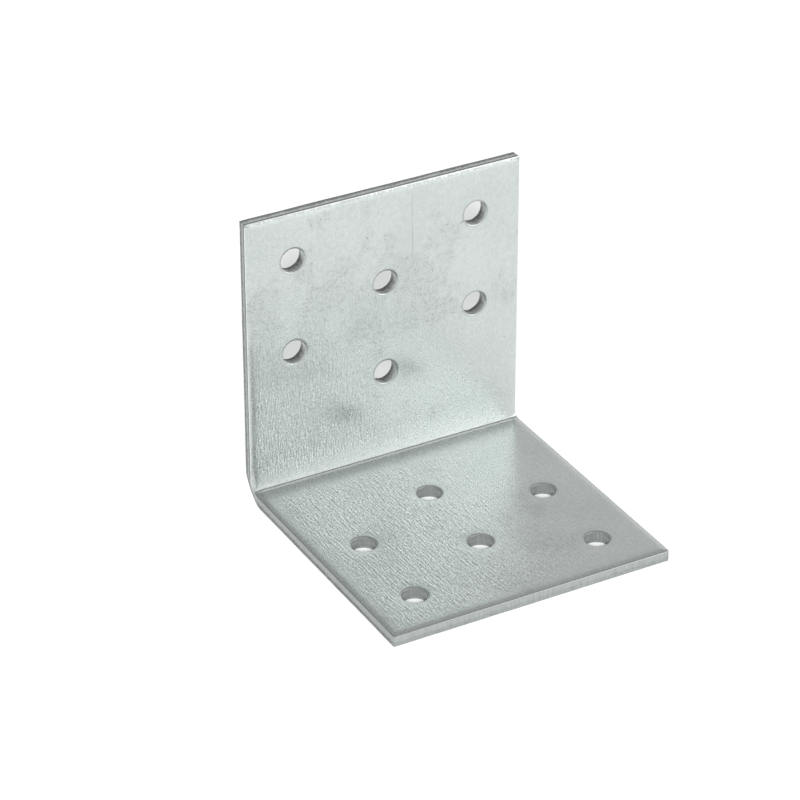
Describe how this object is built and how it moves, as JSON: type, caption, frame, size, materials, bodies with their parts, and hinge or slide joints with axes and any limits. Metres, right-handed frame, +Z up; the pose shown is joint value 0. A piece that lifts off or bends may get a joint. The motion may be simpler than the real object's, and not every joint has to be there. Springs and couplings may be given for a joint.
{
  "type": "corner brace bracket",
  "caption": "Folded steel sheet bracket with two equal legs at a right angle, punched with staggered screw holes.",
  "frame": {"origin": "centre of the bounding box's bottom face: on the underside of the base leg, midway across the strip and midway along the base leg", "axes": "+Z up along the upright leg, +X across the strip, +Y from the free tip of the base leg towards the upright leg's outer face"},
  "size_m": [0.0602, 0.06, 0.061],
  "materials": {
    "galvanised_steel": "zinc-coated sheet with fine rolling lines along the strip, satin"
  },
  "bodies": {
    "root": {"bracket": "galvanised_steel"}
  },
  "joints": []
}
